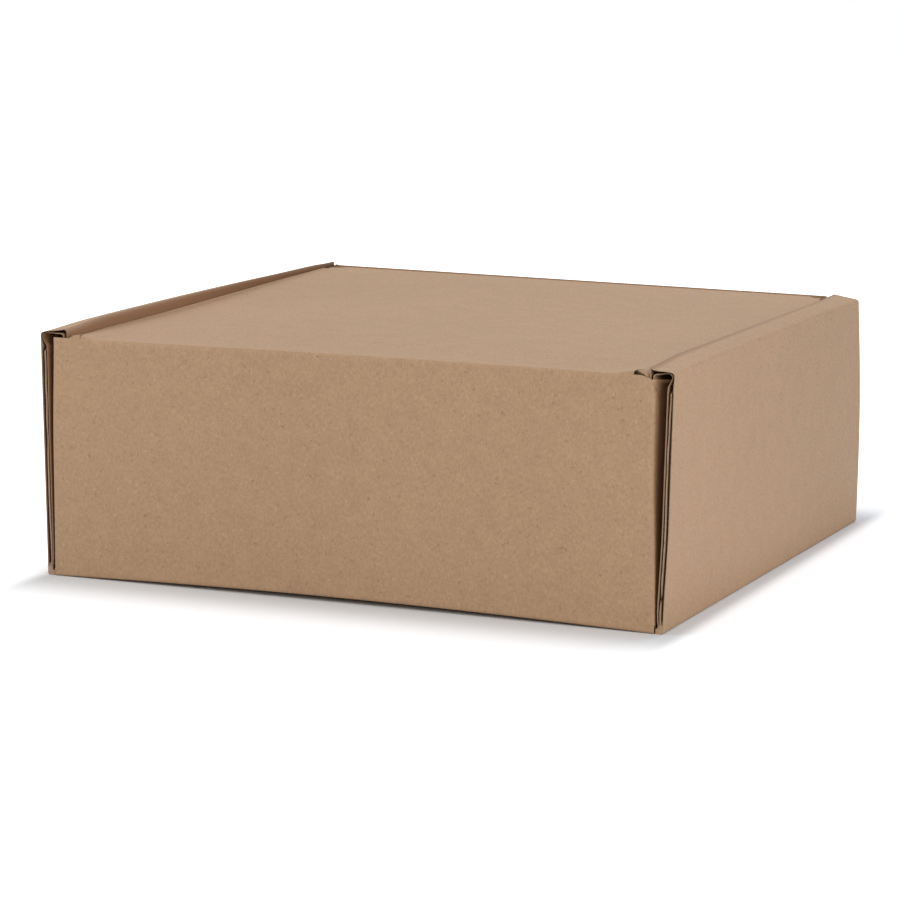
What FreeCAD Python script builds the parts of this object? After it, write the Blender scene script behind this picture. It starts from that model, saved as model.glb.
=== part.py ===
import FreeCAD, Part
import os

import Sketcher

# A roll-end tuck-top carton, die-cut from one sheet of fluted board and folded up.
# The origin is on the floor under the middle of the box, +Z is up, the hinge wall faces -Y
# and the rolled side walls face -X and +X. All sizes are millimetres.

# Driving sizes: a name, its value, and what it measures

SIZES = [
    ("outer_width", 302, "across both rolled side walls"),
    ("outer_depth", 290, "from the hinge wall to the front wall"),
    ("crease_height", 113, "floor to the lid's crease"),
    ("roll_rise", 3, "top of a rolled side above the lid's crease"),
    ("roll_drop", 2, "how much lower the outer fold of a rolled side lies"),
    ("board", 3.2, "thickness of the fluted board"),
    ("ply_gap", 0.4, "air between plies that lie on each other"),
    ("end_setback", 0.6, "cut ends of a side wall behind the faces of the end walls"),
    ("corner_flap", 105, "length of the flaps inside the rolled sides"),
    ("lid_rise", 2, "how much higher the lid's front fold is than its crease"),
    ("lid_gap", 0.6, "air between the lid and a rolled side"),
    ("front_gap", 0.8, "air between the tuck flap and the front wall"),
    ("front_drop", 0.2, "cut top edge of the front wall below the lid's front fold"),
    ("crease_gap", 0.2, "air in the mitre of the lid's crease"),
    ("relief_width", 4, "slit at each end of the crease, across the box"),
    ("relief_depth", 2, "slit at each end of the crease, along the box"),
    ("tuck_height", 46, "height of the tuck flap"),
    ("tuck_corner", 16, "radius of the tuck flap's lower corners"),
    ("tuck_side", 3, "how far the tuck flap stops short of the crease's length"),
    ("dust_height", 62, "height of the lid's side flaps"),
    ("dust_near", 6, "crease to the near end of a side flap"),
    ("dust_far", 4, "far end of a side flap to the tuck flap"),
    ("dust_taper", 14, "how much each end of a side flap slopes in"),
    ("dust_lean", 2, "how far a side flap leans inwards at its edge"),
    ("tab_length", 42, "length of a locking tab"),
    ("tab_spacing", 130, "middle to middle of the two tabs of a side"),
    ("tab_lift", 0.4, "end of a tab above the floor"),
    ("slot_gap", 0.4, "air round a tab in its slot"),
]

# Places that follow from the driving sizes

HALF_WIDTH = "sizes.outer_width / 2"
HALF_DEPTH = "sizes.outer_depth / 2"
WALL_INNER = f"({HALF_WIDTH} - sizes.board)"
FLAP_OUTER = f"({WALL_INNER} - sizes.ply_gap)"
FLAP_INNER = f"({FLAP_OUTER} - sizes.board)"
LINER_OUTER = f"({FLAP_INNER} - sizes.ply_gap)"
LINER_INNER = f"({LINER_OUTER} - sizes.board)"
END_INNER = f"({HALF_DEPTH} - sizes.board)"
SHOULDER = "(sizes.crease_height - sizes.board)"
LOWEST_PLY = "(sizes.board + sizes.ply_gap)"

# The strip on top of a rolled side slopes between these insides of its two folds
ROLL_TOP = "(sizes.crease_height + sizes.roll_rise)"
INNER_CORNER = f"({ROLL_TOP} - sizes.board)"
OUTER_CORNER = f"({INNER_CORNER} - sizes.roll_drop)"

LID_HALF = f"({LINER_INNER} - sizes.lid_gap)"
PANEL_HALF = f"({LID_HALF} - sizes.board)"
CREASE_HALF = f"({PANEL_HALF} - sizes.relief_width)"
LID_LENGTH = "(sizes.outer_depth - sizes.board - sizes.front_gap)"
LID_FRONT = "(sizes.crease_height + sizes.crease_gap + sizes.lid_rise)"
FRONT_TOP = f"({LID_FRONT} - sizes.front_drop)"
TUCK_INSET = f"({LID_LENGTH} - sqrt({LID_LENGTH}^2 - sizes.tuck_height^2))"
TUCK_HALF = f"({CREASE_HALF} - sizes.tuck_side)"
DUST_END = f"({LID_LENGTH} - sizes.board - {TUCK_INSET} - sizes.dust_far)"

PLANES = {
    "XY": FreeCAD.Rotation(),
    "XZ": FreeCAD.Rotation(FreeCAD.Vector(1, 0, 0), 90),
    "YZ": FreeCAD.Rotation(FreeCAD.Vector(1, 1, 1), 120),
}
AXES = {"X": (1, 0, 0), "Y": (0, 1, 0), "Z": (0, 0, 1)}
# An offset counts from the plane's own normal, which faces the other way in the XZ plane
RIGHT_OF_PATH = {"XY": "sizes.board", "XZ": "-sizes.board", "YZ": "sizes.board"}

doc = FreeCAD.newDocument("carton")


def make_sheet():
    """The spreadsheet of driving sizes: words in column A and C, plain numbers in column B."""
    sheet = doc.addObject("Spreadsheet::Sheet", "sizes")
    for row, (name, value, meaning) in enumerate(SIZES, start=1):
        sheet.set(f"A{row}", name)
        sheet.set(f"B{row}", str(value))
        sheet.set(f"C{row}", meaning)
        sheet.setAlias(f"B{row}", name)
    doc.recompute()
    return sheet


def polyline(name, plane, points, closed=False):
    """A sketch of straight lines whose corners are all bound to expressions."""
    sketch = doc.addObject("Sketcher::SketchObject", name)
    sketch.Placement = FreeCAD.Placement(FreeCAD.Vector(), PLANES[plane])
    places = [tuple(float(sketch.evalExpression(text)) for text in point) for point in points]
    count = len(points)
    lines = count if closed else count - 1
    for start in range(lines):
        end = (start + 1) % count
        line = Part.LineSegment(FreeCAD.Vector(*places[start], 0), FreeCAD.Vector(*places[end], 0))
        sketch.addGeometry(line, False)
    for start in range(lines if closed else lines - 1):
        sketch.addConstraint(Sketcher.Constraint("Coincident", start, 2, (start + 1) % lines, 1))
    for corner in range(count):
        line, end = (corner, 1) if corner < lines else (lines - 1, 2)
        for kind, text, place in zip(("DistanceX", "DistanceY"), points[corner], places[corner]):
            number = sketch.addConstraint(Sketcher.Constraint(kind, -1, 1, line, end, place))
            sketch.setExpression(f"Constraints[{number}]", text)
    return sketch


def extrude(name, base, axis, length, middle="0"):
    """A straight extrusion along an axis, centred on a bound place."""
    solid = doc.addObject("Part::Extrusion", name)
    solid.Base = base
    solid.DirMode = "Custom"
    solid.Dir = FreeCAD.Vector(*AXES[axis])
    solid.Solid = True
    solid.setExpression("LengthFwd", f"{middle} + {length} / 2")
    solid.setExpression("LengthRev", f"{length} / 2 - {middle}")
    return solid


def folded(name, plane, inside_path, axis, length, middle="0"):
    """Board bent along a path: the path is the inside of the folds, with the board on its right.

    The inside of each fold is sharp and its outside has the board's thickness as radius.
    """
    path = polyline(name + "_path", plane, inside_path)
    section = doc.addObject("Part::Offset2D", name + "_section")
    section.Source = path
    section.Mode = "Skin"
    section.Join = "Arc"
    section.Fill = True
    section.setExpression("Value", RIGHT_OF_PATH[plane])
    return extrude(name, section, axis, length, middle)


def block(name, x, y, z):
    """A box between pairs of bound places on each axis."""
    box = doc.addObject("Part::Box", name)
    for size, (low, high) in zip(("Length", "Width", "Height"), (x, y, z)):
        box.setExpression(size, f"{high} - ({low})")
    for letter, (low, _) in zip("xyz", (x, y, z)):
        box.setExpression(f"Placement.Base.{letter}", low)
    return box


def half_fold(name, start_angle, half_length, y, z):
    """Half of a right-angled fold along X: an eighth of a round bar of the board's thickness."""
    bar = doc.addObject("Part::Cylinder", name)
    bar.Angle = 45
    turn = FreeCAD.Rotation(FreeCAD.Vector(1, 0, 0), start_angle) * PLANES["YZ"]
    bar.Placement = FreeCAD.Placement(FreeCAD.Vector(), turn)
    bar.setExpression("Radius", "sizes.board")
    bar.setExpression("Height", f"2 * {half_length}")
    bar.setExpression("Placement.Base.x", f"-{half_length}")
    bar.setExpression("Placement.Base.y", y)
    bar.setExpression("Placement.Base.z", z)
    return bar


def mirrored(source, name, axis):
    """A copy on the other side of the box."""
    copy = doc.addObject("Part::Mirroring", name)
    copy.Source = source
    copy.Normal = FreeCAD.Vector(*AXES[axis])
    return copy


def both_sides(source, axis):
    return [source, mirrored(source, source.Name + "_other", axis)]


def fuse(name, pieces):
    joined = doc.addObject("Part::MultiFuse", name)
    joined.Shapes = pieces
    joined.Refine = True
    return joined


def cut(name, base, tool):
    rest = doc.addObject("Part::Cut", name)
    rest.Base = base
    rest.Tool = tool
    rest.Refine = True
    return rest


def common(name, base, tool):
    shared = doc.addObject("Part::Common", name)
    shared.Base = base
    shared.Tool = tool
    return shared


# The floor with both end walls, in one U-shaped bend

def make_floor_and_ends():
    inside = [
        (f"-{END_INNER}", SHOULDER),
        (f"-{END_INNER}", "sizes.board"),
        (END_INNER, "sizes.board"),
        (END_INNER, SHOULDER),
    ]
    ends = folded("floor_and_ends", "YZ", inside, "X", f"2 * {FLAP_INNER}")
    crease = half_fold("wall_half_of_crease", 135, CREASE_HALF, f"-{END_INNER}", SHOULDER)
    front_top = block(
        "front_wall_top",
        (f"-{LID_HALF}", LID_HALF),
        (END_INNER, HALF_DEPTH),
        (f"{SHOULDER} - sizes.board", FRONT_TOP),
    )
    return [ends, crease, front_top]


# The four corner flaps, which turn in from the end walls and lie inside the rolled sides

def make_corner_flaps():
    inside = [
        (f"{FLAP_INNER} - sizes.board", f"-{END_INNER}"),
        (FLAP_INNER, f"-{END_INNER}"),
        (FLAP_INNER, f"sizes.corner_flap - {HALF_DEPTH}"),
    ]
    height = f"({SHOULDER} - {LOWEST_PLY})"
    flap = folded("corner_flap", "XY", inside, "Z", height, f"({SHOULDER} + {LOWEST_PLY}) / 2")
    pair = fuse("corner_flap_pair", both_sides(flap, "Y"))
    return both_sides(pair, "X")


# The rolled sides: outer wall, top strip and inner wall, bent from one flap of the floor

def make_rolled_sides():
    inside = [
        (FLAP_INNER, "sizes.board"),
        (WALL_INNER, "sizes.board"),
        (WALL_INNER, OUTER_CORNER),
        (LINER_OUTER, INNER_CORNER),
        (LINER_OUTER, LOWEST_PLY),
    ]
    roll = folded("roll", "XZ", inside, "Y", "(sizes.outer_depth - 2 * sizes.end_setback)")
    window = block(
        "inner_wall_end",
        (f"{LINER_INNER} - sizes.board", f"{LINER_OUTER} + sizes.ply_gap / 2"),
        (f"-{HALF_DEPTH}", f"-{END_INNER} + sizes.ply_gap"),
        ("sizes.board", INNER_CORNER),
    )
    ends = fuse("inner_wall_ends", both_sides(window, "Y"))
    return both_sides(cut("rolled_side", roll, ends), "X")


# The locking tabs under the inner walls, and their slots in the floor

def tab_places(clearance, low, high, name):
    tab = block(
        name,
        (f"{LINER_INNER} - {clearance}", f"{LINER_OUTER} + {clearance}"),
        (
            f"(sizes.tab_spacing - sizes.tab_length) / 2 - {clearance}",
            f"(sizes.tab_spacing + sizes.tab_length) / 2 + {clearance}",
        ),
        (low, high),
    )
    side = fuse(name + "_pair", both_sides(tab, "Y"))
    return fuse(name + "s", both_sides(side, "X"))


def make_tray():
    shell = fuse("tray_shell", make_floor_and_ends() + make_corner_flaps() + make_rolled_sides())
    slots = tab_places("sizes.slot_gap", "-sizes.board", "2 * sizes.board", "slot")
    tabs = tab_places("0", "sizes.tab_lift", f"{LOWEST_PLY} + sizes.board", "tab")
    open_tray = cut("slotted_tray", shell, cut("slots_below_walls", slots, wall_room()))
    return fuse("tray", [open_tray, tabs])


def wall_room():
    """Everything above the floor panel, where the slots leave the board alone."""
    return block(
        "above_the_floor",
        (f"-{HALF_WIDTH}", HALF_WIDTH),
        (f"-{HALF_DEPTH}", HALF_DEPTH),
        ("sizes.board", ROLL_TOP),
    )


# The lid is drawn square with its crease on the origin, and its Placement tilts it

def make_panel_and_tuck():
    """The top panel with the tuck flap, which leans in so that it swings clear of the front."""
    tuck_foot = f"{LID_LENGTH} - sizes.board - {TUCK_INSET}"
    inside = [
        (tuck_foot, "-sizes.tuck_height"),
        (f"{LID_LENGTH} - sizes.board", "-sizes.board"),
        ("sizes.board", "-sizes.board"),
    ]
    bent = folded("panel_and_tuck", "YZ", inside, "X", f"2 * {TUCK_HALF}")
    corners = doc.addObject("Part::Fillet", "rounded_tuck")
    corners.Base = bent
    doc.recompute()
    radius = float(bent.evalExpression("sizes.tuck_corner"))
    corners.Edges = [(number, radius, radius) for number in tuck_corner_edges(bent.Shape)]
    return corners


def tuck_corner_edges(shape):
    """The short edges through the board at the tuck flap's two lower corners."""
    floor = shape.BoundBox.ZMin
    board = float(doc.sizes.get("board"))
    found = []
    for number, edge in enumerate(shape.Edges, start=1):
        box = edge.BoundBox
        if box.ZMax < floor + board / 2 and box.XLength < board / 2:
            found.append(number)
    return found


def make_side_flaps():
    inside = [
        (f"{PANEL_HALF} - sizes.dust_lean", "-sizes.dust_height"),
        (PANEL_HALF, "-sizes.board"),
        (f"{PANEL_HALF} - sizes.board", "-sizes.board"),
    ]
    bent = folded("side_flap_bend", "XZ", inside, "Y", f"2 * {LID_LENGTH}")
    outline = [
        ("sizes.dust_near", "sizes.board"),
        (DUST_END, "sizes.board"),
        (DUST_END, "-2 * sizes.board"),
        (f"{DUST_END} - sizes.dust_taper", "-sizes.dust_height - sizes.board"),
        ("sizes.dust_near + sizes.dust_taper", "-sizes.dust_height - sizes.board"),
        ("sizes.dust_near", "-2 * sizes.board"),
    ]
    sketch = polyline("side_flap_outline", "YZ", outline, closed=True)
    prism = extrude("side_flap_prism", sketch, "X", "2 * sizes.outer_width")
    return both_sides(common("side_flap", bent, prism), "X")


def make_lid():
    panel = block(
        "top_panel",
        (f"-{PANEL_HALF}", PANEL_HALF),
        ("sizes.board", f"{LID_LENGTH} - sizes.board"),
        ("-sizes.board", "0"),
    )
    crease = half_fold("lid_half_of_crease", 90, CREASE_HALF, "sizes.board", "-sizes.board")
    relief = block(
        "relief_slit",
        (CREASE_HALF, LID_HALF),
        ("0", "sizes.board + sizes.relief_depth"),
        ("-2 * sizes.board", "sizes.board"),
    )
    reliefs = fuse("relief_slits", both_sides(relief, "X"))
    whole = fuse("whole_lid", [panel, crease, make_panel_and_tuck()] + make_side_flaps())
    lid = cut("lid", whole, reliefs)
    lid.Placement.Rotation = FreeCAD.Rotation(FreeCAD.Vector(1, 0, 0), 1)
    lid.setExpression("Placement.Base.y", f"-{HALF_DEPTH}")
    lid.setExpression("Placement.Base.z", "sizes.crease_height + sizes.crease_gap")
    lid.setExpression("Placement.Rotation.Angle", f"atan(sizes.lid_rise / {LID_LENGTH})")
    return lid


def check_document():
    """Stop before anything is written if an object failed or a sub-part is no single solid."""
    failed = [thing.Name for thing in doc.Objects if {"Invalid", "Error"} & set(thing.State)]
    if failed:
        raise RuntimeError(f"objects that failed: {failed}")


def write(part, label):
    part.Label = label
    shape = part.Shape
    if shape.isNull() or not shape.isValid() or len(shape.Solids) != 1:
        raise RuntimeError(f"{label} is not one valid solid")
    shape.exportStep(f"parts/{label}.step")
    box = shape.BoundBox
    print(label, "volume", round(shape.Volume), "mm3, box", [
        round(value, 2) for value in (box.XMin, box.YMin, box.ZMin, box.XMax, box.YMax, box.ZMax)
    ])


make_sheet()
parts = {"tray": make_tray(), "lid": make_lid()}
doc.recompute()
check_document()
os.makedirs("parts", exist_ok=True)
for label, part in parts.items():
    write(part, label)
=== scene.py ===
# %% [markdown]
# # A closed mailer box, folded from one sheet of corrugated board
# The frame comes first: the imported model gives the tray, the lid and the hinge between them, all in
# metres. Every sheet below is cut and folded round those sizes, so nothing has to be fitted later.

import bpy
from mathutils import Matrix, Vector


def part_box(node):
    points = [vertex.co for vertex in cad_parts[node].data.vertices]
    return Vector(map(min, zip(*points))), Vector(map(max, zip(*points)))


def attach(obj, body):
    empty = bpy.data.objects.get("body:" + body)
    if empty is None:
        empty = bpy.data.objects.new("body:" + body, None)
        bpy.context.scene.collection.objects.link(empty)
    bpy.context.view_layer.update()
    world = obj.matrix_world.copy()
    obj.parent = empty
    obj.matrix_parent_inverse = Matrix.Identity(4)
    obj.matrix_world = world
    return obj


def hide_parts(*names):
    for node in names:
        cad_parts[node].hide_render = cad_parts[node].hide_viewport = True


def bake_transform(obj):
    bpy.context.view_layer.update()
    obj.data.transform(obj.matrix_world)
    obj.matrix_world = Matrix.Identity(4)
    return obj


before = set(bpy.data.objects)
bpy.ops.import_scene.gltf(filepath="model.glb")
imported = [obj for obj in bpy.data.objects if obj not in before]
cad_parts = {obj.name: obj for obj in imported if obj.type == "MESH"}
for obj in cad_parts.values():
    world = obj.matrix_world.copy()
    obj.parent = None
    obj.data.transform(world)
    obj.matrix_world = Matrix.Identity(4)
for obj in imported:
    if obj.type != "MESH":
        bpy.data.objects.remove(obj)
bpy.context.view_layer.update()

import math

import bmesh
import bpy
from mathutils import Matrix, Vector, noise

MM = 0.001
tray_low, tray_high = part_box("tray")
lid_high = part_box("lid")[1]
print("tray", [round(v / MM, 1) for v in tray_high - tray_low], "mm")

# %% [markdown]
# ## The camera
# The picture is taken from behind the box, a little above the lid, with a long lens that keeps the
# sides nearly parallel. The camera is placed by its angle round the box, its height and its distance,
# and then rolled by half a degree, because the picture leans that much.

# %% The camera
LENS = 138.2
CAMERA_TARGET = Vector((-9.9 * MM, 0, 46.7 * MM))
CAMERA_DISTANCE = 1.668
CAMERA_TURN = math.radians(22.59)
CAMERA_HEIGHT = math.radians(9.62)
CAMERA_ROLL = math.radians(0.54)

toward_camera = Vector((
    math.sin(CAMERA_TURN) * math.cos(CAMERA_HEIGHT),
    -math.cos(CAMERA_TURN) * math.cos(CAMERA_HEIGHT),
    math.sin(CAMERA_HEIGHT),
))
camera_data = bpy.data.cameras.new("camera")
camera_data.lens = LENS
camera = bpy.data.objects.new("camera", camera_data)
bpy.context.scene.collection.objects.link(camera)
level = toward_camera.to_track_quat("Z", "Y").to_matrix().to_4x4()
camera.matrix_world = (
    Matrix.Translation(CAMERA_TARGET + CAMERA_DISTANCE * toward_camera)
    @ level
    @ Matrix.Rotation(CAMERA_ROLL, 4, "Z")
)
bpy.context.scene.camera = camera
print("camera at", [round(v, 3) for v in camera.location])

# %% [markdown]
# ## Nodes written as expressions
# A material or a modifier is a small graph. Drawn by hand it is a web of links, and built node by node it
# fills pages. Written as sums and products it reads like a recipe, so one class stands for a node's output
# and turns + - * / into Math nodes, and one method adds any other node.

# %% Nodes written as expressions
class Value:
    """A node's output, which can be added and multiplied."""

    def __init__(self, graph, socket):
        self.graph = graph
        self.socket = socket

    def math(self, operation, first, second=0.0):
        return self.graph.add("ShaderNodeMath", {"operation": operation}, {0: first, 1: second})

    def __add__(self, other):
        return self.math("ADD", self, other)

    def __sub__(self, other):
        return self.math("SUBTRACT", self, other)

    def __rsub__(self, other):
        return self.math("SUBTRACT", other, self)

    def __mul__(self, other):
        return self.math("MULTIPLY", self, other)

    def __truediv__(self, other):
        return self.math("DIVIDE", self, other)

    def sine(self):
        return self.math("SINE", self)

    __radd__ = __add__
    __rmul__ = __mul__


class Graph:
    """A node tree, filled by adding nodes."""

    def __init__(self, tree):
        self.tree = tree

    def add(self, kind, settings=None, values=None, out=0):
        node = self.tree.nodes.new(kind)
        for name, value in (settings or {}).items():
            setattr(node, name, value)
        for key, value in (values or {}).items():
            if isinstance(value, Value):
                self.tree.links.new(value.socket, node.inputs[key])
            else:
                node.inputs[key].default_value = value
        return Value(self, node.outputs[out]) if node.outputs else node


# %% [markdown]
# ## The board
# Single-wall board is a wavy sheet of paper, the medium, glued between two flat ones, the liners. It
# could be shown as a plain slab with a picture of stripes on its edge. Here it is built: each face is a
# surface, and round every cut edge the liners stand as thin lips over open channels, so a close view
# of any edge finds real ridges and shadows. Deep in the channels shade is painted in as well.

# %% The board
BOARD = 3.2 * MM
FLUTE_PITCH = 6.35 * MM
INSIDE_RADIUS = 0.3 * MM
OUTSIDE_RADIUS = INSIDE_RADIUS + BOARD
MIDDLE_RADIUS = INSIDE_RADIUS + BOARD / 2
FOLD_STEPS = 10
CRUSH = 0.25
CRUSH_REACH = 4.5 * MM


def direction(heading):
    return Vector((math.cos(heading), math.sin(heading)))


def corner_reach(angle, turn, radius):
    """From a fold's centre to the outer face, at an angle in the fold, where the corner is that round."""
    turn = abs(turn)
    if radius >= OUTSIDE_RADIUS:
        return OUTSIDE_RADIUS
    offset = (OUTSIDE_RADIUS - radius) / math.cos(turn / 2)
    touch = offset * Vector((math.cos(turn / 2), math.sin(turn / 2))) + Vector((radius, 0))
    rounded = math.atan2(touch.y, touch.x)
    if rounded < angle < turn - rounded:
        aside = angle - turn / 2
        return offset * math.cos(aside) + math.sqrt(radius**2 - (offset * math.sin(aside)) ** 2)
    return OUTSIDE_RADIUS / max(math.cos(angle), math.cos(turn - angle))


class Section:
    """A walk along the board, in a plane, on the line that its folds turn about: straight runs and folds.

    outside is 1 where the box's outer face is on the right of the walk, and -1 on the left."""

    def __init__(self, start, heading, outside):
        self.here = Vector(start)
        self.heading = heading
        self.outside = outside
        self.length = 0.0
        self.legs = []
        self.folds = []

    def run(self, length):
        self.legs.append((self.length, self.here.copy(), self.heading, None, 0.0))
        self.here += length * direction(self.heading)
        self.length += length
        return self.length

    def fold(self, turn, radius=OUTSIDE_RADIUS, crush=CRUSH, reach=(CRUSH_REACH, CRUSH_REACH)):
        """Turns left by turn, in radians, or right where it is negative. radius is the outer face's.

        crush is the share of the board's thickness lost at the fold, and reach how far that spreads
        before the fold and after it."""
        self.legs.append((self.length, self.here.copy(), self.heading, turn, radius))
        self.folds.append((self.length + abs(turn) * MIDDLE_RADIUS / 2, crush, *reach))
        self.length += abs(turn) * MIDDLE_RADIUS
        self.heading += turn
        return self.length

    def at(self, way, radius=None):
        """The line's point, the way out, and how far along that the outer and the inner face are."""
        legs = [leg for leg in self.legs if leg[0] <= way + 1e-9] or self.legs[:1]
        start, here, heading, turn, own_radius = legs[-1]
        reach = OUTSIDE_RADIUS
        if turn is None:
            here = here + (way - start) * direction(heading)
        else:
            turned = min((way - start) / MIDDLE_RADIUS, abs(turn))
            reach = corner_reach(turned, turn, own_radius if radius is None else radius)
            heading += math.copysign(turned, turn)
        crushed = 0.0
        for fold, crush, before, after in self.folds:
            away = (way - fold) / (before if way < fold else after)
            crushed = max(crushed, crush * math.exp(-(away**2)))
        inner = INSIDE_RADIUS + BOARD * crushed
        return here, -self.outside * direction(heading + math.pi / 2), reach, inner


# %% [markdown]
# ## Cutting the blank
# The whole box is one flat sheet, cut by a die and then folded. So each piece is drawn flat first, as
# patches of a grid in the sheet's own two directions, and a folding rule then puts every point of the
# grid in its place. Along u run the flutes, and v crosses them. What this buys is that every slot, gap
# and corner lines up as it does in the real sheet, and that the pattern on the paper follows the folds.

# %% Cutting the blank
def ticks(*keys, step):
    """Grid lines through every key, and between them no further apart than step."""
    lines = [keys[0]]
    for near, far in zip(keys, keys[1:]):
        count = max(1, math.ceil((far - near) / step - 1e-6))
        lines += [near + (far - near) * i / count for i in range(1, count + 1)]
    return lines


def both_ways(lines):
    """Lines on one side of the middle, mirrored to the other."""
    return [-line for line in reversed(lines) if line > 0] + list(lines)


LIP = 0.11
CHANNEL = 2.2 * MM
OPEN_CHANNEL = 1.3 * CHANNEL
HOLLOW = 6 * MM
WANDER, WANDER_LENGTH = 0.13, 35 * MM
TORN_LEAST, TORN_MORE = 0.3 * MM, 1.2 * MM
# Points of a cut edge further in than a millimetre get this much painted shade, near black.
DEEP_SHADE, DEEP_SHADE_FROM = 2.0, 1 * MM


def edge_profile(along_flutes, place, kind):
    """From the outer face to the inner one: how far through the board, and how far back from the edge.

    Along the flutes the cut runs through the medium, which wanders between the liners. Across them the
    space between the liners is open. A hollow edge has lost its medium, and a joined one shows none.
    Every profile has ten points, so that neighbours on an edge can be joined."""
    if kind == "joined":
        return [(share, 0.0) for share in (0, 0.11, 0.13, 0.42, 0.44, 0.66, 0.68, 0.85, 0.87, 1)]
    if kind == "hollow":
        return [(0, 0), (0.2, 0.3 * MM), (0.22, HOLLOW), (0.3, HOLLOW), (0.4, HOLLOW),
                (0.6, HOLLOW), (0.7, HOLLOW), (0.86, HOLLOW), (0.88, 0), (1, 0)]
    if not along_flutes:
        floor = [(through, OPEN_CHANNEL) for through in (LIP + 0.01, 0.3, 0.4, 0.6, 0.7, 0.99 - LIP)]
        return [(0, 0), (LIP, 0)] + floor + [(1 - LIP, 0), (1, 0)]
    here = place / WANDER_LENGTH
    wander = WANDER * noise.noise(here)
    torn = TORN_LEAST + TORN_MORE * max(0.0, noise.noise(here * 3 + Vector((7, 3, 1))))
    near, far = 0.45 + wander, 0.65 + wander
    deep = CHANNEL * min(1.0, max(0.5, 1.0 + 1.6 * noise.noise(here * 0.8 + Vector((2, 9, 4)))))
    shallow = 0.8 * CHANNEL
    return [(0, 0), (LIP, 0), (LIP + 0.02, deep), (near - 0.02, deep), (near, torn),
            (far, torn), (far + 0.02, shallow), (0.98 - LIP, shallow), (1 - LIP, 0.1 * MM), (1, 0)]


class Blank:
    """A sheet drawn flat as quads, then folded into a closed solid of board.

    fold gives the outer and the inner face's point for a flat one, edge_kind the kind of cut there,
    sheet_place the point on the whole sheet, and the last one how much shade is painted into the paper's
    colour."""

    def __init__(self, fold, edge_kind, sheet_place=lambda u, v: (u, v), painted_shade=lambda u, v, inner: 0.0):
        self.painted_shade = painted_shade
        self.fold = fold
        self.edge_kind = edge_kind
        self.sheet_place = sheet_place
        self.number = {}
        self.flat = []
        self.quads = []

    def point(self, u, v):
        key = (round(u / MM * 1000), round(v / MM * 1000))
        if key not in self.number:
            self.number[key] = len(self.flat)
            self.flat.append(Vector((u, v)))
        return self.number[key]

    def patch(self, us, vs, keep=lambda u, v: True, shape=lambda u, v: (u, v)):
        for u0, u1 in zip(us, us[1:]):
            for v0, v1 in zip(vs, vs[1:]):
                if keep((u0 + u1) / 2, (v0 + v1) / 2):
                    corners = ((u0, v0), (u1, v0), (u1, v1), (u0, v1))
                    self.quads.append([self.point(*shape(*corner)) for corner in corners])

    def cut_edges(self):
        """For each point on the outline: the next one, the way into the sheet, and the flutes' share."""
        sides = {(a, b) for quad in self.quads for a, b in zip(quad, quad[1:] + quad[:1])}
        after = {a: b for a, b in sides if (b, a) not in sides}
        before = {b: a for a, b in after.items()}
        edges = {}
        for here, onward in after.items():
            first = (self.flat[here] - self.flat[before[here]]).normalized()
            second = (self.flat[onward] - self.flat[here]).normalized()
            into = Vector((-first.y - second.y, first.x + second.x))
            into /= max(1 + first.dot(second), 0.5)
            at_corner = first.dot(second) < 0.7
            along = max(abs(first.x), abs(second.x)) if at_corner else abs((first + second).normalized().x)
            edges[here] = (onward, into, along)
        return edges

    def solid(self, name, liner, cut):
        """The folded sheet as an object: two liner faces, and the cut edges between them."""
        faces, cut_faces = [], []
        outer = [self.fold(*flat) for flat in self.flat]
        points = [pair[0] for pair in outer] + [pair[1] for pair in outer]
        flats = self.flat + self.flat
        # How much shade is painted into each point's colour, outer faces first, then inner ones.
        painted_shades = [self.painted_shade(*flat, inner) for inner in (False, True) for flat in self.flat]
        count = len(self.flat)
        for quad in self.quads:
            faces.append(quad)
            faces.append([count + i for i in reversed(quad)])
        edges = self.cut_edges()
        rings = {}
        for here, (onward, into, along) in edges.items():
            flat = self.flat[here]
            profile = edge_profile(along > 0.75, points[here], self.edge_kind(*flat))
            ring = [here]
            for through, back in profile[1:-1]:
                place = flat + into * back
                outside, inside = self.fold(*place)
                ring.append(len(points))
                points.append(outside.lerp(inside, through))
                flats.append(place)
                # Deep inside the cut, shade is painted into the colour.
                painted_shades.append(DEEP_SHADE if back > DEEP_SHADE_FROM else 0.0)
            rings[here] = ring + [count + here]
        for here, (onward, into, along) in edges.items():
            for a, b, c, d in zip(rings[here], rings[onward], rings[onward][1:], rings[here][1:]):
                cut_faces.append((b, a, d, c))
        mesh = bpy.data.meshes.new(name)
        mesh.from_pydata(points, [], faces + cut_faces)
        mesh.attributes.new("flat", "FLOAT_VECTOR", "POINT").data.foreach_set(
            "vector", [value for flat in flats for value in (*self.sheet_place(*flat), 0.0)]
        )
        # The painted shade goes to the material as a point attribute.
        mesh.attributes.new("painted_shade", "FLOAT", "POINT").data.foreach_set(
            "value", [float(value) for value in painted_shades]
        )
        mesh.materials.append(liner)
        mesh.materials.append(cut)
        for polygon in mesh.polygons:
            polygon.use_smooth = polygon.index < len(faces)
            polygon.material_index = int(polygon.index >= len(faces))
        shell = bmesh.new()
        shell.from_mesh(mesh)
        bmesh.ops.recalc_face_normals(shell, faces=shell.faces)
        for edge in shell.edges:
            edge.smooth = len({face.material_index for face in edge.link_faces}) == 1
        open_edges = sum(not edge.is_manifold for edge in shell.edges)
        volume = shell.calc_volume()
        shell.to_mesh(mesh)
        shell.free()
        obj = bpy.data.objects.new(name, mesh)
        bpy.context.scene.collection.objects.link(obj)
        print(name, len(mesh.polygons), "faces,", open_edges, "open edges,", round(volume / MM**3), "mm3")
        return obj


# %% [markdown]
# ## How the box stands
# A folded box is never quite square. Its corners lean out by different amounts, the lid is twisted and
# has sagged, the hinge fold has sunk a little, the long bottom edge lifts off the table between its
# corners, and the left rolled side bows along its length. Each piece could be bent by itself, but one
# rule that moves every point of every sheet in the same way keeps the pieces that touch touching.

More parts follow.
